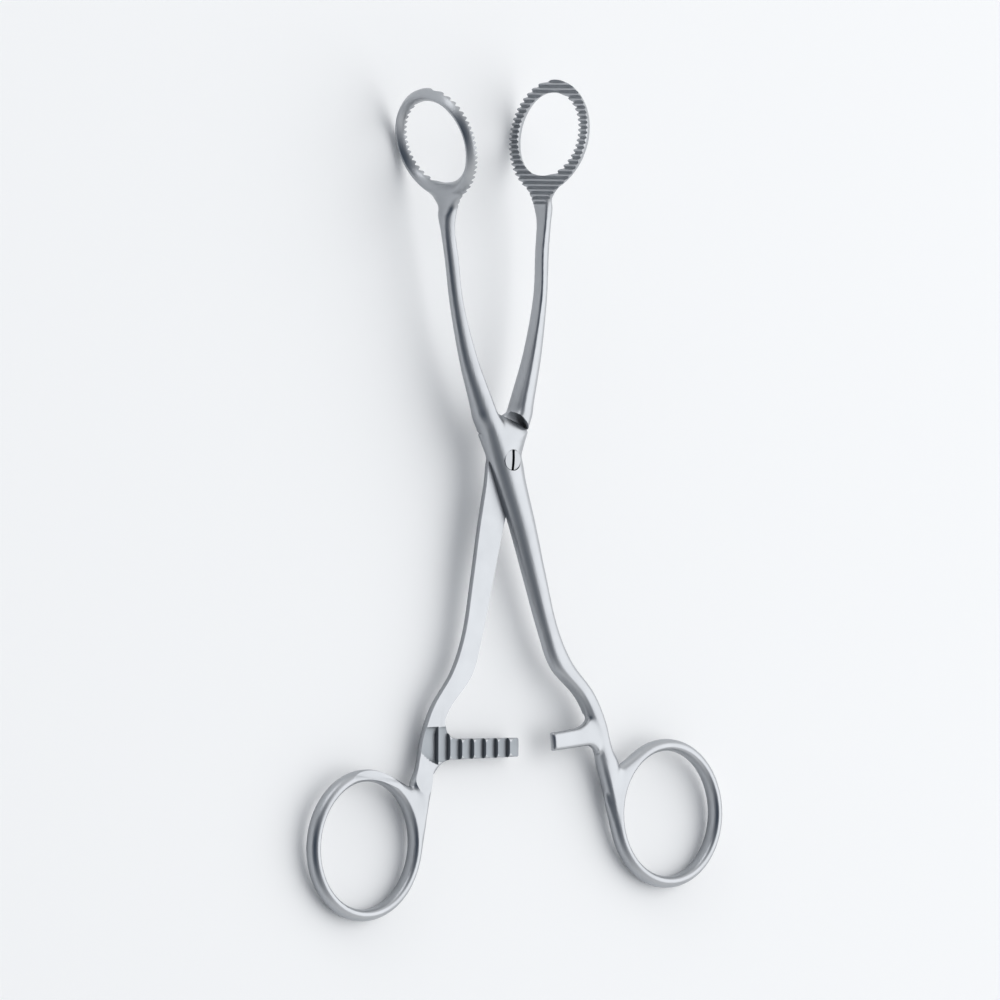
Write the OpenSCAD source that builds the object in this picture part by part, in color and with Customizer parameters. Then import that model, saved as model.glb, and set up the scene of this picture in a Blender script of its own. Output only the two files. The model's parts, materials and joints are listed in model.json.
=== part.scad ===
/* [Pose] */
// Half of the angle between the two halves as the forceps lie open, in degrees
half_open = 12.5; // [9:0.2:15]

/* [Jaws] */
// Distance from the screw to the jaw tip
jaw_reach = 82.8; // [74:0.2:92]
// Width of a jaw loop, along the screw
jaw_w = 25.4; // [23:0.2:30]
// Width of the window in a jaw
window_w = 19.6; // [16:0.2:20.4]
// Length of the window in a jaw
window_l = 18; // [14:0.5:20]
// Metal between the window and the jaw tip
tip_band = 3; // [2.4:0.1:4]
// Thickness of a jaw loop
jaw_t = 2.2; // [1.9:0.1:2.8]
// Thickness of the straight rim behind the serrated face
rim_t = 0.75; // [0.7:0.05:1]
// Length of serrated face between the window and the arm
face_tail = 6.5; // [5.5:0.1:8]
// Spacing of the cross serrations
serration_pitch = 1.1; // [0.9:0.05:1.6]
// Depth of the cross serrations
serration_depth = 0.6; // [0.4:0.05:0.65]
// Gap between the serrated faces when the forceps are closed
jaw_gap = 0.2; // [0.1:0.05:0.6]

/* [Jaw arms] */
// Distance from the middle plane to the inner face of a closed arm at its widest bow
arm_bow = 3; // [2.2:0.1:4.5]
// Distance from the middle plane to the inner face of a closed arm beside the joint
arm_root_gap = 0.6; // [0.4:0.1:1.6]
// Width of an arm at the jaw
arm_neck_w = 2.5; // [2:0.1:3.2]
// Thickness of an arm at the jaw, along the screw
arm_neck_t = 2.9; // [2.4:0.1:3.6]
// Width of an arm beside the joint
arm_root_w = 4.9; // [4:0.1:6]

/* [Lap joint] */
// Width of a half at the screw
joint_w = 8; // [7:0.2:9.4]
// Thickness of one half at the screw
lap_t = 3.3; // [2.8:0.1:4]
// Gap between the two lapped faces
lap_gap = 0.06; // [0.04:0.02:0.12]
// Distance from the screw axis to the shoulder wall
shoulder_r = 8.5; // [7.8:0.1:9.2]
// Direction of the shoulder wall's normal on a closed half, in degrees
shoulder_turn = 54; // [48:1:60]
// Gap between the shoulder wall and the rounded lap beside it
shoulder_gap = 0.1; // [0.05:0.05:0.3]
// Diameter of the screw
screw_d = 3; // [2.6:0.1:3.4]
// Diameter of the screw head
screw_head_d = 4.5; // [4:0.1:5]
// Thickness of the screw head
screw_head_t = 1.1; // [0.8:0.1:1.4]
// Width of the screw slot
slot_w = 0.8; // [0.5:0.1:0.9]
// Depth of the screw slot
slot_t = 0.8; // [0.5:0.1:0.9]
// Turn of the screw slot from the middle plane, in degrees
slot_turn = 5.8; // [-90:0.2:90]
// Running clearance round the screw, on the radius
screw_play = 0.05; // [0.02:0.01:0.1]

/* [Shanks] */
// Width of a shank below the joint
shank_top_w = 6.4; // [5.4:0.2:7.4]
// Width of a shank at its thinnest
shank_low_w = 4.7; // [4:0.1:5.6]
// Thickness of a shank above the ratchet
shank_t = 2.7; // [2.3:0.1:3.2]
// Distance of the grip bar's middle line from the middle plane when closed
grip_x = 10.3; // [8.5:0.1:12]
// Width of the grip bar between ratchet and ring
grip_w = 4; // [3.4:0.1:4.8]

/* [Ratchet] */
// Distance from the screw to the ratchet root, when closed
ratchet_y = 64.4; // [60:0.2:68]
// Slope of a ratchet arm toward the jaws when closed, in degrees
ratchet_slope = 9.5; // [6:0.5:13]
// Length of the rear ratchet arm from the middle of its grip bar
rear_arm_l = 25.8; // [24:0.2:28]
// Length of the front ratchet arm from the middle of its grip bar
front_arm_l = 14.2; // [13:0.2:16]
// Height of the rear ratchet arm at its tip
rear_arm_h = 4.1; // [3.4:0.1:4.6]
// Height of the front ratchet arm at its tip
front_arm_h = 3.7; // [3.2:0.1:4.4]
// Thickness of a ratchet arm
ratchet_t = 2.3; // [2:0.1:2.6]
// Radius of the fillet on the ring side of the rear arm's root
rear_root_r = 5.5; // [4:0.1:6.5]
// Radius of the fillet on the ring side of the front arm's root
front_root_r = 3.5; // [2.4:0.1:4.4]
// Radius of the notch on the joint side of the rear arm's root
rear_notch_r = 4; // [3:0.1:5]
// Radius of the notch on the joint side of the front arm's root
front_notch_r = 5.5; // [4:0.1:6.5]
// Distance from the middle of the grip bar to the rear notch
rear_notch_l = 4.8; // [4:0.1:5.4]
// Distance from the middle of the grip bar to the front notch
front_notch_l = 1.9; // [1.4:0.1:2.6]
// Spacing of the ratchet teeth
ratchet_pitch = 3.35; // [2.8:0.05:3.8]
// Depth of the ratchet teeth
ratchet_depth = 0.8; // [0.5:0.05:1]
// Number of teeth on the rear arm
rear_teeth = 7; // [5:1:7]
// Number of teeth on the front arm
front_teeth = 3; // [2:1:3]
// Length of plain metal between the last tooth and the tip of the rear arm
rear_tip_l = 3.1; // [2.5:0.1:3.6]
// Length of plain metal between the last tooth and the tip of the front arm
front_tip_l = 2; // [1.4:0.1:2.6]
// Gap from the middle plane to the tooth crests
crest_gap = 0.12; // [0.08:0.02:0.2]

/* [Finger rings] */
// Distance from the screw to the far end of a ring, when closed
handle_reach = 103.2; // [96:0.2:112]
// Width of the finger opening
ring_inner_w = 25.6; // [22:0.2:28]
// Length of the finger opening
ring_inner_l = 27.2; // [24:0.2:31]
// Width of the ring's metal, across the opening
ring_band = 2.7; // [2.2:0.1:3.4]
// Thickness of the ring's metal, along the screw
ring_t = 3.8; // [3:0.1:4.6]
// Height of the web that fills the corner between grip bar and ring
ring_web = 2.2; // [1.4:0.1:3]

/* [Hidden] */
eps = 0.01;
far = 60;
bar_points = 18;
ring_steps = 40;
window_y = jaw_reach - tip_band - window_l / 2;
face_y = window_y - window_l / 2 - face_tail;
face_x = -jaw_gap / 2;
proud = 0.4;
ring_x = grip_x + ring_band / 2 + ring_inner_w / 2;
ring_y = -(handle_reach - ring_band - ring_inner_l / 2);
ring_top_y = ring_y + ring_inner_l / 2 + ring_band;
lap_end_y = -ratchet_y - 2;
lap_run = 8;
lap_z = lap_gap / 2;
bend_y = -ratchet_y + 21;
root_y = shoulder_r + 3.2;
wall_y = shoulder_r / sin(shoulder_turn);
wing_r = shoulder_r - shoulder_gap;
wing_x = -2;
wing_start = 31;
wing_rim_t = 1.1;
wing_crown_t = lap_t - 0.3;
arm_l = face_y - root_y;
low_band = tip_band + 0.9;
web_turn = 144;
web_spread = 17;
ring_crown = 0.42 * ring_band;
arm_end_round = 0.35;
arm_taper = 0.01;
root_rise = 1.8;
root_l = 0.3 * grip_w;
groove_low = 1.2;
screw_end = 0.1;

// The lying forceps rest on the jaw loops and on the far ends of the finger rings.
jaw_low_y = window_y * cos(half_open);
ring_low_y = ring_y * cos(half_open) + ring_x * sin(half_open) - ring_inner_l / 2 - ring_band / 2;
rest_tilt = asin((jaw_w - ring_t) / 2 / (jaw_low_y - ring_low_y));
top_y = jaw_reach * cos(half_open);
low_y = ring_low_y - ring_band / 2;
rest_y = -(top_y + low_y) / 2 * cos(rest_tilt);
rest_z = jaw_w / 2 - jaw_low_y * sin(rest_tilt);

// The forged bar from jaw to ring, as rows of height along the bar, then
// left side, crown line, right side, half thickness and squareness.
bar_rows = [
    [window_y - window_l / 2 - 1.2, [-jaw_t, face_x - 0.3, proud, 6.8, 2.2]],
    [window_y - window_l / 2 - 3.2, [-jaw_t, face_x - 0.4, proud, 4.3, 2.2]],
    [window_y - window_l / 2 - 5, [-jaw_t - 0.3, face_x - 0.5, proud, 2.9, 2.3]],
    [face_y - 0.2, [face_x - arm_neck_w - 0.8, face_x - 1, face_x - 0.3, arm_neck_t / 2 + 0.8, 2.4]],
    [face_y - 3.5, [-1.4 - arm_neck_w, -2.1, -1.3, arm_neck_t / 2 + 0.2, 2.5]],
    [face_y - 0.22 * arm_l, [-0.67 * arm_bow - arm_neck_w, -0.6 * arm_bow - 0.7, -0.6 * arm_bow,
        arm_neck_t / 2, 2.4]],
    [face_y - 0.44 * arm_l, [-arm_bow - arm_neck_w - 0.1, -arm_bow - 0.8, -arm_bow, arm_neck_t / 2 + 0.1, 2.4]],
    [face_y - 0.72 * arm_l, [-0.8 * arm_bow - 3.7, -0.8 * arm_bow - 1.3, -0.8 * arm_bow, 1.9, 2.3]],
    [root_y + 1, [-arm_root_gap - arm_root_w, -arm_root_gap - 1.9, -arm_root_gap, 2.7, 2.2]],
    [wall_y, [-arm_root_gap - arm_root_w + 0.1, -2, -0.2, 2.95, 2.15]],
    [wall_y - 2.8, [-joint_w / 2 - 0.7, -1.8, 1.6, lap_t - 0.2, 2.1]],
    [0, [-joint_w / 2, -0.3, joint_w / 2, lap_t, 2.1]],
    [-6, [-joint_w / 2 + 0.6, 0.2, joint_w / 2 - 0.2, lap_t, 2.1]],
    [-15, [0.8 - shank_top_w / 2, 0.8, 0.8 + shank_top_w / 2, lap_t - 0.1, 2.1]],
    [bend_y + 16, [1.3 - shank_low_w / 2 - 0.4, 1.3, 1.3 + shank_low_w / 2 + 0.3, shank_t + 0.2, 2.2]],
    [bend_y + 5, [1.8 - shank_low_w / 2, 1.8, 1.8 + shank_low_w / 2, shank_t, 2.4]],
    [bend_y - 3.5, [3.4 - shank_low_w / 2 - 0.2, 3.4, 3.4 + shank_low_w / 2 + 0.3, shank_t, 2.6]],
    [bend_y - 11.5, [grip_x - 2.5 - grip_w / 2, grip_x - 2.5, grip_x - 2.2 + grip_w / 2, shank_t, 2.8]],
    [-ratchet_y + 3, [grip_x - 0.7 - grip_w / 2, grip_x - 0.6, grip_x - 0.6 + grip_w / 2, shank_t, 2.8]],
    [-ratchet_y - 4, [grip_x - 0.1 - grip_w / 2, grip_x, grip_x + 0.1 + grip_w / 2, shank_t - 0.4, 2.6]],
    [ring_top_y - 1.6, [grip_x - grip_w / 2 + 0.3, grip_x + 0.3, grip_x + grip_w / 2 + 1.4, ring_t / 2 + 0.1, 2.4]],
    [ring_top_y - 7, [grip_x - ring_band / 2 - 0.1, grip_x, grip_x + ring_band / 2 + 0.9, ring_t / 2, 2.2]],
    [ring_y, [grip_x - ring_band / 2 + 0.2, grip_x, grip_x + ring_band / 2 - 0.2, ring_t / 2 - 0.2, 2]],
];

// Signed power that rounds a corner between an ellipse (2) and a box (large).
function rounded(v, square) = sign(v) * pow(abs(v), 2 / square);

// Outline of a bar across its length: an oval with its crown off centre.
function bar_section(v, count) = [
    for (i = [0:count - 1])
        let (a = 360 * (i + 0.5) / count, c = rounded(cos(a), v[4]), s = rounded(sin(a), v[4]))
            [v[1] + c * (c > 0 ? v[2] - v[1] : v[1] - v[0]), v[3] * s]
];

// Slope of the row values at row k, from its neighbours on both sides.
function row_slope(rows, k) =
    let (a = max(k - 1, 0), b = min(k + 1, len(rows) - 1))
        (rows[b][1] - rows[a][1]) / (rows[b][0] - rows[a][0]);

// Row values a share s of the way from row k to row k + 1, on a smooth cubic.
function row_blend(rows, k, s) =
    let (h = rows[k + 1][0] - rows[k][0], s2 = s * s, s3 = s * s * s)
        (2 * s3 - 3 * s2 + 1) * rows[k][1] + (s3 - 2 * s2 + s) * h * row_slope(rows, k)
        + (3 * s2 - 2 * s3) * rows[k + 1][1] + (s3 - s2) * h * row_slope(rows, k + 1);

// Every smoothed row of a bar, each as its height and its values.
function smooth_rows(rows, steps) = concat(
    [for (k = [0:len(rows) - 2], j = [0:steps - 1])
        let (s = j / steps) [rows[k][0] + s * (rows[k + 1][0] - rows[k][0]), row_blend(rows, k, s)]],
    [rows[len(rows) - 1]]
);

// Faces that join rings of points, with end caps unless the rings close on themselves.
module skin(rings, looped) {
    count = len(rings[0]);
    total = len(rings);
    sides = [for (r = [0:total - (looped ? 1 : 2)], i = [0:count - 1])
        let (a = r * count, b = ((r + 1) % total) * count, j = (i + 1) % count) [a + i, b + i, b + j, a + j]];
    caps = looped ? [] : [[for (i = [0:count - 1]) i], [for (i = [count - 1:-1:0]) (total - 1) * count + i]];
    polyhedron(points = [for (r = rings, p = r) p], faces = concat(sides, caps), convexity = 8);
}

// The forged bar that runs from the neck of the jaw to the side of the finger ring.
module bar() {
    rings = [for (row = smooth_rows(bar_rows, 3))
        [for (p = bar_section(row[1], bar_points)) [p[0], row[0], p[1]]]];
    skin(rings, false);
}

// Jaw loop: a flat-faced, round-backed band swept round the oval window.
module jaw_loop() {
    side_band = (jaw_w - window_w) / 2;
    rings = [for (k = [0:ring_steps - 1])
        let (a = 360 * k / ring_steps,
            band_l = sin(a) > 0 ? tip_band : low_band,
            inner = [window_w / 2 * cos(a), window_l / 2 * sin(a)],
            outer = [(window_w / 2 + side_band) * cos(a), (window_l / 2 + band_l) * sin(a)])
            [for (q = jaw_section())
                let (p = inner + q[0] * (outer - inner)) [q[1], window_y + p[1], p[0]]]];
    skin(rings, true);
}

// Section of the jaw loop as share across the band and position behind the face.
function jaw_section() = concat(
    [[0, proud], [0, face_x - rim_t]],
    [for (a = [150:-30:30]) [0.5 + 0.5 * cos(a), face_x - rim_t - (jaw_t - rim_t + face_x) * sin(a)]],
    [[1, face_x - rim_t], [1, proud]]
);

// Finger ring: an oval band whose outer side swells into a web beside the grip bar.
module finger_ring() {
    rings = [for (k = [0:ring_steps - 1])
        let (a = 360 - 360 * k / ring_steps,
            web = ring_web * exp(-pow((a - web_turn) / web_spread, 2)),
            inner = [ring_inner_w / 2 * cos(a), ring_inner_l / 2 * sin(a)],
            way = [cos(a), sin(a)])
            [for (q = bar_section([0, ring_crown, ring_band + web, ring_t / 2, 2], 12))
                [ring_x + inner[0] + q[0] * way[0], ring_y + inner[1] + q[0] * way[1], q[1]]]];
    skin(rings, true);
}

// Half height of a ratchet arm at a distance d from the grip bar's middle, with a fillet r that starts at from.
function ratchet_half_h(d, height, r, from) =
    let (e = max(0, r - max(0, d - from)))
        height / 2 + arm_taper * (rear_arm_l - d) + min(root_rise * d, r - sqrt(r * r - e * e));

// Ratchet arm, pointing from the grip bar across the middle plane.
module ratchet_arm(length, height, root_r, notch_r, notch_l) {
    stops = concat([for (d = [0:0.75:9]) d], [length - arm_end_round, length]);
    mid_z = crest_gap + ratchet_t / 2;
    rings = [for (d = stops)
        let (end = d == length ? arm_end_round : 0,
            up = ratchet_half_h(d, height, notch_r, notch_l) - end,
            down = ratchet_half_h(d, height, root_r, root_l) - end)
            [for (p = bar_section([-up, 0, down, ratchet_t / 2 - end, 5], 16)) [-d, -p[0], mid_z + p[1]]]];
    skin(rings, false);
}

// Saw-tooth cutter: steep faces toward the grip bar, ramps down toward the tip.
module ratchet_teeth(last, count, height, notch_r) {
    first = last - (count - 1) * ratchet_pitch;
    saw = [for (k = [0:count - 1], side = [0, 1])
        [-first - k * ratchet_pitch - side * eps, side == 0 ? ratchet_depth : 0]];
    translate([0, height / 2 + notch_r, 0]) rotate([90, 0, 0]) linear_extrude(height = height + notch_r + groove_low)
        polygon(concat([[grip_w / 2 - first, -2], [grip_w / 2 - first, 0]], saw,
            [[-last - eps, -2]]));
}

// Shoulder and lap of the joint: a thin wing beside the bar, rounded about the screw.
module lap_wing() {
    rim = [for (a = [wing_start:(shoulder_turn - wing_start) / 5:shoulder_turn + eps]) wing_r * [cos(a), sin(a)]];
    hull() {
        linear_extrude(height = wing_rim_t)
            polygon(concat([[wing_x, -3], [3, -3], [joint_w / 2 + 0.3, 0.3]], rim,
                [[wing_x, (wing_r - wing_x * cos(shoulder_turn)) / sin(shoulder_turn)]]));
        translate([wing_x, 0, 0]) linear_extrude(height = wing_crown_t) square([3, shoulder_r - 0.3]);
    }
}

// Everything behind the lap plane, from the shoulder wall to the run-out below the ratchet.
module lap_cutter() {
    intersection() {
        rotate([0, 0, 90 - shoulder_turn]) translate([-far, -2 * far, -far / 2]) cube([2 * far, 2 * far + shoulder_r, far]);
        rotate([90, 0, 90]) linear_extrude(height = far, center = true)
            polygon([[lap_end_y - lap_run, -shank_t], [lap_end_y, lap_z], [far, lap_z], [far, -far / 2],
                [lap_end_y - lap_run, -far / 2]]);
    }
}

// Everything beyond the serrated jaw face, with its cross grooves.
module face_cutter() {
    grooves = ceil((jaw_reach - face_y) / serration_pitch);
    saw = [for (k = [0:2 * grooves])
        [face_x - (k % 2) * serration_depth, face_y + k * serration_pitch / 2]];
    linear_extrude(height = 2 * jaw_w, center = true)
        polygon(concat([[far, face_y]], saw, [[far, face_y + grooves * serration_pitch]]));
}

// One forged half in its closed position: jaw left of the middle plane, ring right of it.
module forged_half() {
    difference() {
        union() {
            bar();
            jaw_loop();
            finger_ring();
            lap_wing();
            at_ratchet() children();
        }
        lap_cutter();
        face_cutter();
    }
}

// Places the ratchet arm on the grip bar.
module at_ratchet() {
    translate([grip_x - 0.3, -ratchet_y, 0]) rotate([0, 0, -ratchet_slope]) children();
}

// Lays the forceps down on the jaw loops and finger rings.
module lying() {
    translate([0, rest_y, rest_z]) rotate([rest_tilt, 0, 0]) children();
}

module front_half() {
    color("silver") lying() rotate([0, 0, half_open]) difference() {
        forged_half() ratchet_arm(front_arm_l, front_arm_h, front_root_r, front_notch_r, front_notch_l);
        at_ratchet() translate([0, 0, crest_gap])
            ratchet_teeth(front_arm_l - front_tip_l, front_teeth, front_arm_h, front_root_r);
        cylinder(h = 3 * lap_t, d = screw_d + 2 * screw_play, center = true, $fn = 64);
        translate([0, 0, lap_t - screw_head_t - screw_play])
            cylinder(h = far, d = screw_head_d + 2 * screw_play, $fn = 64);
    }
}

module rear_half() {
    color("gainsboro") lying() rotate([0, 0, -half_open]) rotate([0, 180, 0]) difference() {
        forged_half() ratchet_arm(rear_arm_l, rear_arm_h, rear_root_r, rear_notch_r, rear_notch_l);
        at_ratchet() translate([0, 0, crest_gap])
            ratchet_teeth(rear_arm_l - rear_tip_l, rear_teeth, rear_arm_h, rear_notch_r);
        cylinder(h = 3 * lap_t, d = screw_d, center = true, $fn = 64);
    }
}

module joint_screw() {
    color("darkgray") lying() rotate([0, 0, -slot_turn]) difference() {
        union() {
            translate([0, 0, screw_end - lap_t]) cylinder(h = 2 * (lap_t - screw_end), d = screw_d, $fn = 64);
            translate([0, 0, lap_t - screw_head_t]) cylinder(h = screw_head_t - screw_end, d = screw_head_d, $fn = 64);
        }
        translate([-slot_w / 2, -screw_head_d, lap_t - screw_end - slot_t]) cube([slot_w, 2 * screw_head_d, far]);
    }
}

front_half();
rear_half();
joint_screw();
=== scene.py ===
import json
import bpy
import numpy as np
from mathutils import Matrix, Vector


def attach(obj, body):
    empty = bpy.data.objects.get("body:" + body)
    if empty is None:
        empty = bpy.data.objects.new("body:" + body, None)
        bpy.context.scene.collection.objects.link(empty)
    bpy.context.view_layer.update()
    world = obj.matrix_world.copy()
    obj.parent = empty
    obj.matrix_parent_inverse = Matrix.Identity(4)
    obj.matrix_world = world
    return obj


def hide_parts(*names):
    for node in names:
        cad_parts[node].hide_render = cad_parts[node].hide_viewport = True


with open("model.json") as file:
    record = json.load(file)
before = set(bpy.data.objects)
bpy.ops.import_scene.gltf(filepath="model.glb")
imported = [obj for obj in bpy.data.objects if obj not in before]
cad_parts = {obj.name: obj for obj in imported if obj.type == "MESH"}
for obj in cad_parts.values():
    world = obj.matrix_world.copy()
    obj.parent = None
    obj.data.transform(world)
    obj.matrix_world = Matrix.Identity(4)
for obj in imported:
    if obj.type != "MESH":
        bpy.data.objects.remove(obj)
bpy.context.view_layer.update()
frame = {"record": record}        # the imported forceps: two halves and their screw

# All shapes are drawn in millimetres on a closed half, with the screw at the origin and the jaw
# left of the middle plane. seatHalf then opens them, lays them down and turns them to metres.
hinge = frame["record"]["behaviour"]["joints"][0]
pose = {
    "halfOpen": 12.5,        # degrees each half is turned from closed
    "pivot": np.array(hinge["pos_m"]),
    "tilt": float(np.arctan2(hinge["axis"][1], -hinge["axis"][2])),
}
jaw = {
    "reach": 82.72, "width": 25.3, "windowWidth": 19.6, "windowLength": 18.0,
    "tipBand": 2.92, "lowBand": 3.82,        # width of the metal past the window, at the tip and at the neck
    "thickness": 2.2, "rim": 0.75, "lean": 0.5, "inset": 0.13, "tail": 6.5,
    "pitch": 1.1, "depth": 0.6, "point": 1.5,        # serration; a higher point is a sharper crest
    "gap": 0.2, "proud": 0.4,        # between the closed faces; metal left on the blank for the cutter
}
arm = {"bow": 3.0, "rootGap": 0.6, "neckWidth": 2.5, "neckThick": 2.9, "rootWidth": 4.9}
joint = {
    "width": 8.0, "lapThick": 3.3, "lapGap": 0.06, "shoulder": 8.5, "turn": 54.0, "clear": 0.1,
    "screw": 3.0, "head": 4.5, "headThick": 1.1, "play": 0.05, "seat": 0.03, "sunk": 0.1,
    "slot": 0.7, "slotDepth": 0.8, "slotTurn": 5.8,
}
shank = {"topWidth": 6.4, "lowWidth": 4.7, "thick": 2.7, "gripX": 10.3, "gripWidth": 4.0}
ratchet = {
    "y": 64.4, "slope": 9.5, "thick": 2.3, "pitch": 3.35, "depth": 0.85, "hollow": 1.3, "runIn": 5.2,
    "crest": 0.12, "taper": 0.01, "rise": 1.8, "nose": 0.8, "endRound": 0.35,
    "flush": 3.5, "flushRun": 2.5,        # beside the grip bar the near face is level with it
    "front": {
        "length": 14.2, "height": 3.7, "tip": 2.0, "leadIn": 1.2, "teeth": 3,
        "root": 3.5, "notch": 5.5, "notchStart": 1.9, "square": 3.6,
    },
    "rear": {
        "length": 25.8, "height": 4.1, "tip": 3.1, "leadIn": 0.75, "teeth": 7,
        "root": 5.5, "notch": 4.0, "notchStart": 4.8, "square": 5,
    },
}
ring = {
    "reach": 103.12, "width": 25.6, "length": 27.2, "band": 2.62, "thick": 3.76, "crown": 0.42,
    "web": 3.0, "webTurn": 144, "webSpread": 19,        # the swelling toward the grip bar, angles in degrees
}

windowY = jaw["reach"] - jaw["tipBand"] - jaw["windowLength"] / 2
windowLow = windowY - jaw["windowLength"] / 2
faceY = windowLow - jaw["tail"]        # where the serrated face starts
faceX = -jaw["gap"] / 2
ringX = shank["gripX"] + ring["band"] / 2 + ring["width"] / 2
ringY = -(ring["reach"] - ring["band"] - ring["length"] / 2)
ringTop = ringY + ring["length"] / 2 + ring["band"]
lapEnd = -ratchet["y"] - 2        # where the flat lap face ends
lapRun = 12.0        # and how far it takes to run out
bendY = -ratchet["y"] + 21
rootY = joint["shoulder"] + 3.2
armLength = faceY - rootY
wallTurn = np.radians(joint["turn"])
wallY = joint["shoulder"] / np.sin(wallTurn)        # where the shoulder wall meets the middle plane
lapRadius = joint["shoulder"] - joint["clear"]


# The forged bar from jaw to finger ring, one row for each height along it: the height, left side,
# crown line, right side, half thickness and squareness of its section.
def barRows():
    n, t, b = arm["neckWidth"], arm["neckThick"], arm["bow"]
    w, g, r = shank["lowWidth"], shank["gripX"], ring["band"]
    h, q = shank["gripWidth"] / 2, shank["thick"]
    j, lap = joint["width"] / 2, joint["lapThick"]
    outer = -arm["rootGap"] - arm["rootWidth"]
    return np.array([
        [windowLow - 2.2, 0.8 - jaw["thickness"], faceX - 0.4, jaw["proud"], 5.8, 2],
        [windowLow - 3.6, 0.1 - jaw["thickness"], faceX - 0.4, jaw["proud"], 4.1, 2],
        [windowLow - 5, -jaw["thickness"] - 0.3, faceX - 0.5, jaw["proud"], 2.9, 2.1],
        [faceY - 0.2, faceX - n - 0.8, faceX - 1, faceX - 0.3, t / 2 + 0.8, 2.4],
        [faceY - 3.5, -1.4 - n, -1.8, -1.3, t / 2 + 0.2, 2.2],
        [faceY - 0.22 * armLength, -0.67 * b - n, -0.6 * b - 0.5, -0.6 * b, t / 2, 2.15],
        [faceY - 0.44 * armLength, -b - n - 0.1, -b - 0.5, -b, t / 2 + 0.1, 2.15],
        [faceY - 0.72 * armLength, -0.8 * b - 3.7, -0.8 * b - 0.9, -0.8 * b, 1.9, 2.15],
        [rootY + 1, outer, -arm["rootGap"] - 1.6, -arm["rootGap"], 2.7, 2.1],
        [wallY, outer + 0.1, -2, -0.2, 2.95, 2.15],
        [wallY - 2.8, -j - 0.7, -1.8, 1.6, lap - 0.2, 2.1],
        [0, -j, -0.3, j, lap, 2.1],
        [-6, -j + 0.6, 0.2, j - 0.2, lap, 2.1],
        [-15, 0.8 - shank["topWidth"] / 2, 0.8, 0.8 + shank["topWidth"] / 2, lap - 0.1, 2.1],
        [bendY + 16, 1.3 - w / 2 - 0.4, 1.3, 1.3 + w / 2 + 0.3, q + 0.2, 2.2],
        [bendY + 5, 1.8 - w / 2, 1.8, 1.8 + w / 2, q, 2.4],
        [bendY - 3.5, 3.4 - w / 2 - 0.2, 3.4, 3.4 + w / 2 + 0.3, q, 2.6],
        [bendY - 11.5, g - 2.5 - h, g - 2.5, g - 2.2 + h, q, 2.8],
        [-ratchet["y"] + 3, g - 0.7 - h, g - 0.6, g - 0.6 + h, q, 2.8],
        [-ratchet["y"] - 4, g - 0.1 - h, g, g + 0.1 + h, q - 0.4, 2.6],
        [ringTop - 1.6, g - h + 0.3, g + 0.3, g + h + 1.4, ring["thick"] / 2 + 0.1, 2.4],
        [ringTop - 7, g - r / 2 - 0.1, g, g + r / 2 + 0.9, ring["thick"] / 2, 2.2],
        [ringY, g - r / 2 + 0.2, g, g + r / 2 - 0.2, ring["thick"] / 2 - 0.2, 2],
    ])


# Smooth curve through every row: between rows a and b at share s it is
# (2s³ - 3s² + 1)·a + (s³ - 2s² + s)·h·slopeA + (3s² - 2s³)·b + (s³ - s²)·h·slopeB,
# where h is the step and each slope comes from the row's two neighbours.
def smoothRows(rows, steps):
    y, v = rows[:, 0], rows[:, 1:]
    slope = np.empty_like(v)
    slope[1:-1] = (v[2:] - v[:-2]) / (y[2:] - y[:-2])[:, None]
    slope[0] = (v[1] - v[0]) / (y[1] - y[0])
    slope[-1] = (v[-1] - v[-2]) / (y[-1] - y[-2])
    s = (np.arange(steps) / steps)[None, :, None]
    h = np.diff(y)[:, None, None]
    start = (2 * s**3 - 3 * s**2 + 1) * v[:-1, None] + (s**3 - 2 * s**2 + s) * h * slope[:-1, None]
    end = (3 * s**2 - 2 * s**3) * v[1:, None] + (s**3 - s**2) * h * slope[1:, None]
    heights = (y[:-1, None] + s[0, :, 0] * np.diff(y)[:, None]).reshape(-1)
    return np.append(heights, y[-1]), np.vstack([(start + end).reshape(-1, v.shape[1]), v[-1:]])


# Rounded-square section with its crown off centre: across = crown + c·(reach to the right or left),
# height = half·s, where c and s are cosine and sine raised to 2 / squareness with their sign kept.
def ovalSection(values, count):
    a = 2 * np.pi * (np.arange(count) + 0.5) / count
    left, crown, right, half, square = [values[:, k:k + 1] for k in range(5)]
    c = np.sign(np.cos(a)) * np.abs(np.cos(a)) ** (2 / square)
    s = np.sign(np.sin(a)) * np.abs(np.sin(a)) ** (2 / square)
    return crown + np.where(c > 0, right - crown, crown - left) * c, half * s


# Closed surface through rings of points (ring, point, xyz): quads between neighbours, flat caps on
# open ends. Its volume, the sum of p0·(p1 × p2) over the faces, tells whether to turn the faces.
def shell(rings, looped):
    n, m = rings.shape[:2]
    rows = np.arange(n if looped else n - 1)[:, None]
    k = np.arange(m)[None, :]
    a, b = rows * m, ((rows + 1) % n) * m
    quads = np.stack([a + k, b + k, b + (k + 1) % m, a + (k + 1) % m], axis=2).reshape(-1, 4)
    points = rings.reshape(-1, 3)
    p = points[quads]
    fans = np.cross(p[:, 1], p[:, 2]) + np.cross(p[:, 2], p[:, 3])
    volume = np.einsum("ij,ij->i", p[:, 0], fans).sum()
    faces = quads.tolist()
    if not looped:
        faces += [list(range(m)), list(range(n * m - 1, n * m - m - 1, -1))]
        for cap in (points[:m], points[-m:][::-1]):
            volume += (np.cross(cap[1:-1], cap[2:]) @ cap[0]).sum()
    if volume < 0:
        faces = [f[::-1] for f in faces]
    return points, faces


# Straight solid over a flat outline. low and high are one value each, or one for each corner, and
# order says which of outline-across, outline-along and height become X, Y and Z.
def prism(outline, low, high, order):
    low, high = [np.broadcast_to(v, len(outline)) for v in (low, high)]
    ends = [np.column_stack([outline, v])[:, order] for v in (low, high)]
    return shell(np.stack(ends), False)


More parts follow.
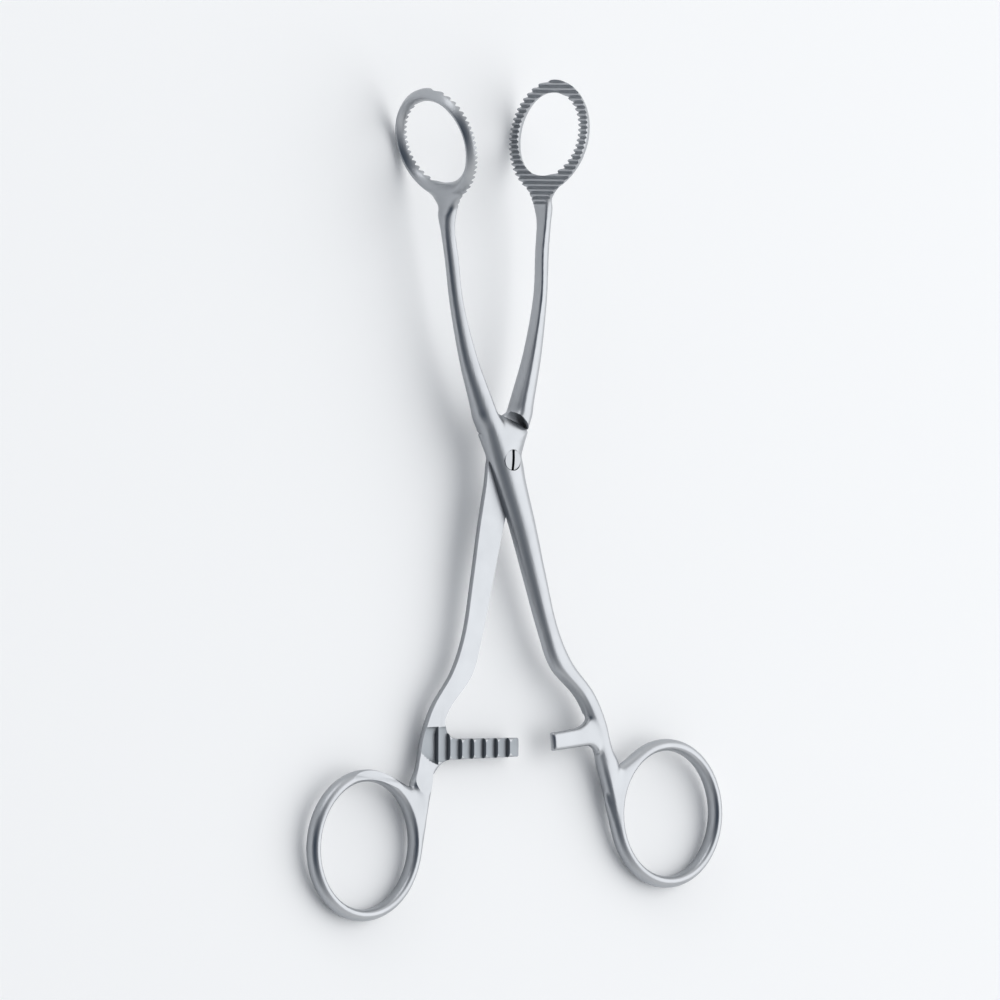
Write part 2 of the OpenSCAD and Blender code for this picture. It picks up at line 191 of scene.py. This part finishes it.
# The bar's sections, carried along its smoothed rows.
def barShell():
    y, values = smoothRows(barRows(), 10)
    x, z = ovalSection(values, 56)
    return shell(np.stack([x, np.broadcast_to(y[:, None], x.shape), z], axis=2), False)


# Flat-faced, round-backed band swept round the oval window: inner oval + share·(outer - inner).
# Its walls lean in toward the back, share = 0.5 + (0.5 - inset)·cos t·(1 - lean·sin t), and it
# reaches rim + (thickness - rim - gap / 2)·sin t behind the face. The inset is least at the tip and
# the neck.
def jawShell():
    a = np.linspace(0, 2 * np.pi, 220, endpoint=False)[:, None]
    t = np.linspace(np.pi, 0, 20)[None, :]
    inset = jaw["inset"] * (0.3 + 0.7 * np.abs(np.cos(a)))
    back = 0.5 + (0.5 - inset) * np.cos(t) * (1 - jaw["lean"] * np.sin(t))
    share = np.concatenate([0 * a, back, 0 * a + 1], axis=1)
    wall = faceX - jaw["rim"] - (jaw["thickness"] - jaw["rim"] + faceX) * np.sin(t)
    depth = np.concatenate([[[jaw["proud"]]], wall, [[jaw["proud"]]]], axis=1)
    band = np.where(np.sin(a) > 0, jaw["tipBand"], jaw["lowBand"])
    innerZ, innerY = jaw["windowWidth"] / 2 * np.cos(a), jaw["windowLength"] / 2 * np.sin(a)
    outerZ, outerY = jaw["width"] / 2 * np.cos(a), (jaw["windowLength"] / 2 + band) * np.sin(a)
    z = innerZ + share * (outerZ - innerZ)
    y = windowY + innerY + share * (outerY - innerY)
    return shell(np.stack([np.broadcast_to(depth, z.shape), y, z], axis=2), True)


# Oval finger ring: an oval section carried round, whose outer side swells into the web toward the
# grip bar, reach = band + web·exp(-((angle - webTurn) / webSpread)²).
def ringShell():
    a = np.linspace(0, 360, 220, endpoint=False)
    web = ring["web"] * np.exp(-((a - ring["webTurn"]) / ring["webSpread"]) ** 2)
    one = np.ones_like(a)
    crown, outer = ring["crown"] * ring["band"] * one, ring["band"] + web
    values = np.column_stack([0 * one, crown, outer, ring["thick"] / 2 * one, 2 * one])
    out, z = ovalSection(values, 40)
    c, s = np.cos(np.radians(a))[:, None], np.sin(np.radians(a))[:, None]
    x = ringX + (ring["width"] / 2 + out) * c
    y = ringY + (ring["length"] / 2 + out) * s
    return shell(np.stack([x, y, z], axis=2), True)


# Turns points of a ratchet arm, drawn along -X from the grip bar, by its slope to their place.
def atRatchet(points):
    t = np.radians(-ratchet["slope"])
    x = shank["gripX"] - 0.3 + np.cos(t) * points[..., 0] - np.sin(t) * points[..., 1]
    y = -ratchet["y"] + np.sin(t) * points[..., 0] + np.cos(t) * points[..., 1]
    return np.stack([x, y, points[..., 2]], axis=-1)


# Ratchet arm: boxy sections at distances d from the grip bar. Their half height widens to the bar
# by a quarter circle, r - sqrt(r² - (r - (d - start))²), and rounds off at the tip by another.
def ratchetShell(which):
    length, nose = which["length"], ratchet["nose"]
    tipSteps = length - nose + nose * np.sin(np.linspace(0.2, np.pi / 2, 10))
    rootSteps = np.linspace(0, 9, 40)        # closer together where the arm widens
    d = np.concatenate([rootSteps, np.linspace(9.4, length - nose, 16), tipSteps])

    def ending(r):
        return r - np.sqrt(np.maximum(0, r * r - np.maximum(0, d - length + r) ** 2))

    def halfHeight(r, start):
        e = np.maximum(0, r - np.maximum(0, d - start))
        plain = which["height"] / 2 + ratchet["taper"] * (ratchet["rear"]["length"] - d)
        widening = np.minimum(ratchet["rise"] * d, r - np.sqrt(r * r - e * e))
        return plain + widening - ending(ratchet["endRound"])

    up = halfHeight(which["notch"], which["notchStart"])
    down = halfHeight(which["root"], 0.3 * shank["gripWidth"])
    halfThick = ratchet["thick"] / 2
    values = np.column_stack([-up, 0 * d, down, halfThick - ending(nose), which["square"] + 0 * d])
    across, z = ovalSection(values, 48)
    clear = np.clip((d - ratchet["flush"]) / ratchet["flushRun"], 0, 1)[:, None]
    middle = halfThick + ratchet["crest"] * clear
    along = np.broadcast_to(-d[:, None], z.shape)
    return shell(atRatchet(np.stack([along, -across, middle + z], axis=2)), False)


wing = {"start": 31, "left": -2, "low": -3, "edge": 1.2, "crown": 3.1, "fall": 3.2, "middle": (-0.5, 3.4)}


# Shoulder of the joint: a domed plate over the lap, height = edge + (crown - edge)·(1 - s^fall),
# with s from 0 at its middle to 1 at its rim, which follows the other half's shoulder wall.
def wingShell():
    left, low = wing["left"], wing["low"]
    a = np.radians(np.linspace(wing["start"], joint["turn"], 12))
    rim = np.concatenate([
        [[left, low], [0.5, low], [3, low], [joint["width"] / 2 + 0.3, 0.3]],
        lapRadius * np.column_stack([np.cos(a), np.sin(a)]),
        [[left, (lapRadius - left * np.cos(wallTurn)) / np.sin(wallTurn)], [left, 6], [left, 2]],
    ])
    middle = np.array(wing["middle"])
    s = np.linspace(0.02, 1, 16)[:, None, None]
    flat = middle + s * (rim - middle)[None]
    fall = np.broadcast_to(s, flat.shape[:2] + (1,)) ** wing["fall"]
    upper = np.concatenate([flat, wing["edge"] + (wing["crown"] - wing["edge"]) * (1 - fall)], axis=2)
    lower = np.concatenate([flat[-1:], np.zeros((1, len(rim), 1))], axis=2)
    return shell(np.concatenate([upper, lower]), False)


# All behind the lap plane on the near side of the shoulder wall, sin·y - cos·x = shoulder, with an
# S-shaped run-out below the ratchet, u²·(3 - 2u) of the shank's depth.
def lapCutter():
    u = np.linspace(1, 0, 14)
    top = joint["lapGap"] / 2
    drop = shank["thick"] + 0.1 + top
    slope = np.column_stack([lapEnd - lapRun * u, top - drop * u * u * (3 - 2 * u)])
    end, side, under = 50, 60, -30        # well past the half
    outline = np.concatenate([slope, [[end, top], [end, under], [lapEnd - lapRun, under]]])
    low = (np.sin(wallTurn) * outline[:, 0] - joint["shoulder"]) / np.cos(wallTurn)
    return prism(outline, low, side, [2, 0, 1])


# All beyond the jaw face, which becomes cross grooves: over each pitch the depth is
# depth·((1 - cos 2πs) / 2)^point.
def serrationCutter():
    count = int(np.ceil((jaw["reach"] - faceY) / jaw["pitch"]))
    s = np.arange(10) / 10
    wave = (0.5 - 0.5 * np.cos(2 * np.pi * s)) ** jaw["point"]
    y = faceY + jaw["pitch"] * (np.arange(count)[:, None] + s).reshape(-1)
    x = faceX - jaw["depth"] * np.tile(wave, count)
    y, x = np.append(y, faceY + jaw["pitch"] * count), np.append(x, faceX)
    beyond = 30
    outline = np.concatenate([[[beyond, faceY]], np.column_stack([x, y]), [[beyond, y[-1]]]])
    return prism(outline, -jaw["width"], jaw["width"], [0, 1, 2])


toothing = {
    "base": 0.03, "under": -3.0,        # the cutter's idle level, just clear of the shank, and its far side
    "low": 1.8, "lowRun": 1.8, "high": 3.0, "highRun": 2.2,        # past the arm's edges, with run-outs
    "narrow": 0.7, "bury": 0.5,        # how the pocket on the shank narrows and sinks away
    "back": (0.03, 0.14), "backCut": (0.14, 0.03),        # the steep face: distances past the foot, cuts left
    "leadStart": 0.6, "past": 0.3,
}


# Saw teeth: away from the grip bar a hollow ramp deepens to each foot, depth·s^hollow, and just
# past the foot a steep face comes up again. The last tooth ends in a lead-in. Across the arm the
# cut runs out as a round cutter leaves it, cut·sqrt(1 - w²), and below the arm it sinks by
# bury·(distance past the edge)².
def toothCutter(which):
    count, half = which["teeth"], which["height"] / 2
    base, last = toothing["base"], which["length"] - which["tip"]
    foot = last + ratchet["pitch"] * np.arange(1 - count, 1)[:, None]
    span = np.full((count, 1), ratchet["pitch"])
    span[0] = ratchet["runIn"]
    s = np.linspace(0.06, 1, 8)[None, :]
    near, far = toothing["back"]
    d = np.hstack([foot - span * (1 - s), foot + near, foot + far]).reshape(-1)
    cut = ratchet["depth"] * np.tile(np.append(s**ratchet["hollow"], toothing["backCut"]), count)
    ends = [last + toothing["leadStart"], which["length"] + toothing["past"]]
    d = np.concatenate([[foot[0, 0] - ratchet["runIn"]], d, ends])
    cut = np.concatenate([[0], cut, [base, which["leadIn"]]])
    low, high = half + toothing["low"], half + toothing["high"]
    across = np.linspace(-low, high, 33)[:, None]
    reach = np.where(across < 0, low - toothing["narrow"] * np.maximum(0, foot[0, 0] - d), high)
    runOut = np.where(across < 0, toothing["lowRun"], toothing["highRun"])
    w = np.clip((np.abs(across) - reach + runOut) / runOut, 0, 1)
    sink = base + toothing["bury"] * np.maximum(0, -across - half) ** 2
    z = (cut + (ratchet["crest"] + base) * (cut > 0.02)) * np.sqrt(1 - w * w) - sink
    rings = np.stack(np.broadcast_arrays(-d, across, z), axis=2)
    under = np.stack(np.broadcast_arrays(-d[[-1, 0]], across, toothing["under"]), axis=2)
    points, faces = shell(np.concatenate([rings, under], axis=1), False)
    return atRatchet(points), faces


# Straight round cutter about the screw's axis.
def roundCutter(radius, low, high):
    a = np.linspace(0, 2 * np.pi, 72, endpoint=False)
    return prism(radius * np.column_stack([np.cos(a), np.sin(a)]), low, high, [0, 1, 2])


# Puts points and faces into a new object at the origin.
def addMesh(name, points, faces):
    mesh = bpy.data.meshes.new(name)
    mesh.from_pydata(points.tolist(), [], faces)
    piece = bpy.data.objects.new(name, mesh)
    bpy.context.scene.collection.objects.link(piece)
    return piece


# Several shells as one list of points and faces.
def joined(shells):
    starts = np.cumsum([0] + [len(p) for p, _ in shells[:-1]])
    faces = [[int(i + start) for i in face] for start, (_, part) in zip(starts, shells) for face in part]
    return np.concatenate([p for p, _ in shells]), faces


# Replaces a piece's mesh by what its modifiers make of it.
def bake(piece):
    graph = bpy.context.evaluated_depsgraph_get()
    mesh = bpy.data.meshes.new_from_object(piece.evaluated_get(graph))
    piece.modifiers.clear()
    old, piece.data = piece.data, mesh
    bpy.data.meshes.remove(old)


# The mesh's points as an array.
def corners(mesh):
    flat = np.empty(len(mesh.vertices) * 3)
    mesh.vertices.foreach_get("co", flat)
    return flat.reshape(-1, 3)


blankSteel = {
    "voxel": 0.26,        # mm, the grid that fuses the shells
    "settle": 6, "ease": 0.5, "restore": 0.52,        # rounds of smoothing that keep the size
    "fill": 190, "gather": 0.6, "slack": 0.0008,        # rounds of filling the creases, their share and limit
}


# Fuses overlapping shells and evens the skin. Then metal gathers in the hollow creases,
# p + gather·max(0, (mean of neighbours - p)·n - slack)·n, which only ever adds.
def forge(piece):
    remesh = piece.modifiers.new("fuse", "REMESH")
    remesh.mode = "VOXEL"
    remesh.voxel_size = blankSteel["voxel"]
    bake(piece)
    mesh = piece.data
    p = corners(mesh)
    edges = np.empty(len(mesh.edges) * 2, dtype=np.int64)
    mesh.edges.foreach_get("vertices", edges)
    i, j = edges.reshape(-1, 2).T
    total = len(p)
    degree = np.bincount(np.concatenate([i, j]), minlength=total)[:, None]
    loops = np.empty(len(mesh.loops), dtype=np.int64)
    mesh.loops.foreach_get("vertex_index", loops)
    quads = loops.reshape(-1, 4)

    def gathered(ends, values):        # sum of the values at each point, for X, Y and Z
        return np.stack([np.bincount(ends, values[:, k], total) for k in range(3)], axis=1)

    def pull(points):
        return (gathered(i, points[j]) + gathered(j, points[i])) / degree - points

    def normals(points):
        a, b, c, d = [points[quads[:, k]] for k in range(4)]
        n = gathered(quads.reshape(-1), np.repeat(np.cross(c - a, d - b), 4, axis=0))
        return n / np.maximum(np.linalg.norm(n, axis=1, keepdims=True), 1e-12)

    for _ in range(blankSteel["settle"]):
        p = p + blankSteel["ease"] * pull(p)
        p = p - blankSteel["restore"] * pull(p)
    for _ in range(blankSteel["fill"]):
        n = normals(p)
        out = np.einsum("ij,ij->i", pull(p), n)[:, None]
        p = p + blankSteel["gather"] * np.maximum(0, out - blankSteel["slack"]) * n
    mesh.vertices.foreach_set("co", p.reshape(-1))
    mesh.update()
    print("forged", piece.name, len(mesh.polygons), "faces")


# Cuts closed shapes out of a piece, one after another. Each leaves its own material on what it cuts, with
# painted shade in the ratchet's and the slot's cuts.
def machine(piece, cutters):
    for k, ((points, faces), cutMaterial) in enumerate(cutters):
        tool = addMesh(f"{piece.name}_tool{k}", points, faces)
        tool.data.materials.append(cutMaterial)
        cut = piece.modifiers.new("cut", "BOOLEAN")
        cut.operation = "DIFFERENCE"
        cut.solver = "MANIFOLD"
        cut.material_mode = "TRANSFER"
        cut.object = tool
        bake(piece)
        bpy.data.objects.remove(tool)
    print("machined", piece.name, len(piece.data.polygons), "faces")


# Closed half to its place. Side 1 is the front, -1 the rear, turned over about Y. It is then turned
# open about the screw, tilted about X, put on the pivot and brought from millimetres to metres.
def seatHalf(points, side):
    t = np.radians(side * pose["halfOpen"])
    x, y, z = side * points[:, 0], points[:, 1], side * points[:, 2]
    x, y = np.cos(t) * x - np.sin(t) * y, np.sin(t) * x + np.cos(t) * y
    c, s = np.cos(pose["tilt"]), np.sin(pose["tilt"])
    return np.column_stack([x, c * y - s * z, s * y + c * z]) / 1000 + pose["pivot"]


# Seats a piece, smooths it up to the crease angle and puts it on its body.
def finishPiece(piece, side, body, node, angle):
    mesh = piece.data
    mesh.vertices.foreach_set("co", seatHalf(corners(mesh), side).reshape(-1))
    print("finishes of", piece.name, [m.name if m else None for m in mesh.materials])
    mesh.shade_smooth()
    mesh.set_sharp_from_angle(angle=np.radians(angle))
    mesh.update()
    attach(piece, body)
    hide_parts(node)


# sRGB hex to the linear colour that a shader takes.
def hexColor(text):
    v = np.array([int(text[k:k + 2], 16) for k in (1, 3, 5)]) / 255
    linear = np.where(v <= 0.04045, v / 12.92, ((v + 0.055) / 1.055) ** 2.4)
    return (*[float(c) for c in linear], 1.0)


# One node with its settings, by attribute or by input, and the sockets that feed it.
def addNode(tree, kind, settings=None, links=None):
    node = tree.nodes.new(kind)
    for key, value in (settings or {}).items():
        if isinstance(key, int) or key in node.inputs:
            node.inputs[key].default_value = value
        else:
            setattr(node, key, value)
    for key, source in (links or {}).items():
        tree.links.new(source, node.inputs[key])
    return node


# An empty material and its nodes.
def newMaterial(name):
    material = bpy.data.materials.new(name)
    material.use_nodes = True
    material.node_tree.nodes.clear()
    return material, material.node_tree


# Martensitic stainless steel, blasted with glass beads and lightly tumbled: an even, soft sheen
# with no lines. Grain and bump are in mm. The beads leave pits of about 0.05 mm, drawn coarser here
# so that they show.
satin = {
    "light": "#AFB2B6", "dark": "#A4A7AB",
    "roughness": 0.32, "spread": 0.04, "grain": 0.35, "bump": 0.016,
}

# The same steel where the ratchet was cut after the blasting: duller and finer in grain, and painted greyer
# as shade for the hollows between the teeth.
milledAndShaded = {
    "light": "#969BA0", "dark": "#8A8F94",
    "roughness": 0.48, "spread": 0.03, "grain": 0.3, "bump": 0.008,
}

# The screw's turned head: smooth, with hardly any grain.
turned = {
    "light": "#A6A9AD", "dark": "#A1A4A8",
    "roughness": 0.36, "spread": 0.03, "grain": 0.3, "bump": 0.004,
}

# The sawn slot: dark grey, painted shade for the shadow that falls into it.
slotShade = {
    "light": "#5A6066", "dark": "#4E545A",
    "roughness": 0.4, "spread": 0.02, "grain": 0.2, "bump": 0.004,
}


# Steel from its looks: a fine grain that dents the surface, and a slow cloud over tone and roughness.
def steel(name, looks):
    material, tree = newMaterial(name)
    place = addNode(tree, "ShaderNodeTexCoord").outputs["Object"]
    pits = addNode(tree, "ShaderNodeTexNoise",
                   {"Scale": 1000 / looks["grain"], "Detail": 2.0, "Roughness": 0.6}, {"Vector": place})
    cloud = addNode(tree, "ShaderNodeTexNoise",        # clouds of about 8 mm
                    {"Scale": 130.0, "Detail": 3.0, "Roughness": 0.55}, {"Vector": place})
    tone = addNode(tree, "ShaderNodeMix", {"data_type": "RGBA"}, {"Factor": cloud.outputs["Fac"]})
    tone.inputs["A"].default_value = hexColor(looks["light"])
    tone.inputs["B"].default_value = hexColor(looks["dark"])
    smooth, dull = looks["roughness"] - looks["spread"], looks["roughness"] + looks["spread"]
    rough = addNode(tree, "ShaderNodeMapRange",
                    {"From Min": 0.3, "From Max": 0.7, "To Min": smooth, "To Max": dull},
                    {"Value": cloud.outputs["Fac"]})
    bump = addNode(tree, "ShaderNodeBump", {"Strength": 1.0, "Distance": looks["bump"] / 1000},
                   {"Height": pits.outputs["Fac"]})
    metal = addNode(tree, "ShaderNodeBsdfPrincipled", {"Metallic": 1.0},
                    {"Base Color": tone.outputs["Result"], "Roughness": rough.outputs["Result"],
                     "Normal": bump.outputs["Normal"]})
    addNode(tree, "ShaderNodeOutputMaterial", None, {"Surface": metal.outputs["BSDF"]})
    return material


print("shapes start")
satinSteel = steel("satinBlastedSteel", satin)
milledShadedSteel = steel("milledShadedSteel", milledAndShaded)
halves = {
    "frontHalf": {"side": 1, "body": "front_body", "node": "front_half", "arm": ratchet["front"]},
    "rearHalf": {"side": -1, "body": "rear_body", "node": "rear_half", "arm": ratchet["rear"]},
}
above = 20        # past the crown of a half
for name, half in halves.items():
    parts = [barShell(), jawShell(), ringShell(), ratchetShell(half["arm"]), wingShell()]
    blank = addMesh(name, *joined(parts))
    blank.data.materials.append(satinSteel)
    forge(blank)
    cutters = [
        (lapCutter(), satinSteel),
        (serrationCutter(), satinSteel),
        # The teeth take the milled steel, whose darker grey is painted shade in their hollows.
        (toothCutter(half["arm"]), milledShadedSteel),
    ]
    if half["side"] > 0:        # the seat of the screw's head
        seat = joint["lapThick"] - joint["headThick"] - joint["play"]
        cutters.append((roundCutter(joint["head"] / 2 + joint["seat"], seat, above), satinSteel))
    machine(blank, cutters)
    finishPiece(blank, half["side"], half["body"], half["node"], 32)

screwHead = {
    "dome": 0.15, "chamfer": 0.12,
    "core": 0.02,        # the tiny flats that close the profile at its axis
    "rows": 14, "sides": 72, "slotReach": 5,
}


# Turned screw: a profile of radius and height carried round its axis. Its head is a low dome,
# height = top - dome·(1 - t)², from the chamfer at t = 0 to the middle at t = 1.
def screwShell():
    core, sides, chamfer = screwHead["core"], screwHead["sides"], screwHead["chamfer"]
    lap, head, body = joint["lapThick"], joint["head"] / 2, joint["screw"] / 2
    top, foot, under = lap - joint["sunk"], joint["sunk"] - lap, lap - joint["headThick"]
    t = np.linspace(0, 1, screwHead["rows"])
    domeR = (head - chamfer) * (1 - t)
    domeZ = top - screwHead["dome"] * (1 - t) ** 2
    radius = np.concatenate([[core, body, body, head, head], domeR[:-1], [core]])
    height = np.concatenate([[foot, foot, under, under, domeZ[0] - chamfer], domeZ[:-1], [top]])
    a = np.linspace(0, 2 * np.pi, sides, endpoint=False)
    radius, height = radius[:, None], np.broadcast_to(height[:, None], (len(height), sides))
    return shell(np.stack([radius * np.cos(a), radius * np.sin(a), height], axis=2), False)


screw = addMesh("jointScrew", *screwShell())
screw.data.materials.append(steel("turnedScrewSteel", turned))
slotHalf, reach = joint["slot"] / 2, screwHead["slotReach"]
slotOutline = np.array([[-slotHalf, -reach], [slotHalf, -reach], [slotHalf, reach], [-slotHalf, reach]])
slotBottom = joint["lapThick"] - joint["sunk"] - joint["slotDepth"]
# The slot's cut faces take dark grey steel as painted shade.
machine(screw, [(prism(slotOutline, slotBottom, above, [0, 1, 2]), steel("slotShadeSteel", slotShade))])
screw.data.transform(Matrix.Rotation(np.radians(-pose["halfOpen"] - joint["slotTurn"]), 4, "Z"))
finishPiece(screw, 1, "rear_body", "joint_screw", 30)
print("shapes done")

# Camera at the photograph's viewing angle. right and up move the forceps in the picture, in pixels.
view = {
    "azimuth": 40.25, "elevation": 0.75, "roll": 4.4, "distance": 3.3,
    "pxPerMm": 4.664, "right": 6.125, "up": 5.5, "centre": 0.008,
}
a, e, r = np.radians([view["azimuth"], view["elevation"], view["roll"]])
toCam = np.array([-np.sin(a) * np.cos(e), np.sin(e), np.cos(a) * np.cos(e)])
flatRight = np.cross([0, 1, 0], toCam)
flatRight /= np.linalg.norm(flatRight)
flatUp = np.cross(toCam, flatRight)
camRight = np.cos(r) * flatRight - np.sin(r) * flatUp
camUp = np.sin(r) * flatRight + np.cos(r) * flatUp
shift = (camRight * view["right"] + camUp * view["up"]) / view["pxPerMm"] / 1000
aim = np.array([0, 0, view["centre"]]) - shift
camera = bpy.data.objects.new("camera", bpy.data.cameras.new("camera"))
camera.data.sensor_width = 36
camera.data.lens = camera.data.sensor_width * view["pxPerMm"] * view["distance"]        # for 1000 pixels
turn = Matrix([[camRight[k], camUp[k], toCam[k]] for k in range(3)]).to_4x4()
camera.matrix_world = Matrix.Translation(Vector(aim + toCam * view["distance"])) @ turn
bpy.context.scene.collection.objects.link(camera)
bpy.context.scene.camera = camera
print("camera set")

# Studio: a pale floor, a large soft box above on the right, a weaker one at the head end, and a
# room that is dim behind the camera, which gives rounded steel its single dark stripe.
studio = {
    "floor": "#F8F9FA", "floorSize": 6.0, "bright": "#FFFFFF", "dim": "#36475A", "level": 1.0,
    "dimWay": (-0.77, 0.0, 0.64), "dimEdge": 0.3, "dimCore": 0.99,
    "key": {"place": (0.9, 0.0, 1.1), "size": (1.8, 2.4), "power": 12.5},
    "fill": {"place": (-0.65, 1.35, 0.35), "size": (1.0, 0.5), "power": 2.6},
}


# Matt white board, without a sheen.
def paleFloor():
    material, tree = newMaterial("mattBoard")
    looks = {"Base Color": hexColor(studio["floor"]), "Roughness": 0.9}
    board = addNode(tree, "ShaderNodeBsdfPrincipled", looks)
    addNode(tree, "ShaderNodeOutputMaterial", None, {"Surface": board.outputs["BSDF"]})
    return material


edge = studio["floorSize"] / 2
floorPoints = np.array([[-edge, -edge, 0], [edge, -edge, 0], [edge, edge, 0], [-edge, edge, 0]])
floor = addMesh("floor", floorPoints, [[0, 1, 2, 3]])
floor.data.materials.append(paleFloor())


# Rectangular lamp that faces the forceps.
def softBox(name, place, size, power):
    lamp = bpy.data.lights.new(name, "AREA")
    lamp.shape = "RECTANGLE"
    lamp.size, lamp.size_y = size
    lamp.energy = power
    box = bpy.data.objects.new(name, lamp)
    box.location = place
    box.rotation_euler = (-Vector(place)).to_track_quat("-Z", "Y").to_euler()
    bpy.context.scene.collection.objects.link(box)


softBox("softBoxRight", **studio["key"])
softBox("softBoxHead", **studio["fill"])

# The room's tone goes from bright to dim with the cosine to dimWay, between dimEdge and dimCore.
world = bpy.data.worlds.new("studioRoom")
bpy.context.scene.world = world
world.use_nodes = True
room = world.node_tree
room.nodes.clear()
way = addNode(room, "ShaderNodeTexCoord").outputs["Generated"]
facing = addNode(room, "ShaderNodeVectorMath", {"operation": "DOT_PRODUCT", 1: studio["dimWay"]}, {0: way})
dim = addNode(room, "ShaderNodeMapRange", {"From Min": studio["dimEdge"], "From Max": studio["dimCore"]},
              {"Value": facing.outputs["Value"]})
walls = addNode(room, "ShaderNodeMix", {"data_type": "RGBA"}, {"Factor": dim.outputs["Result"]})
walls.inputs["A"].default_value = hexColor(studio["bright"])
walls.inputs["B"].default_value = hexColor(studio["dim"])
back = addNode(room, "ShaderNodeBackground", {"Strength": studio["level"]},
               {"Color": walls.outputs["Result"]})
addNode(room, "ShaderNodeOutputWorld", None, {"Surface": back.outputs["Background"]})

bpy.context.scene.view_settings.view_transform = "Standard"
print("studio set")
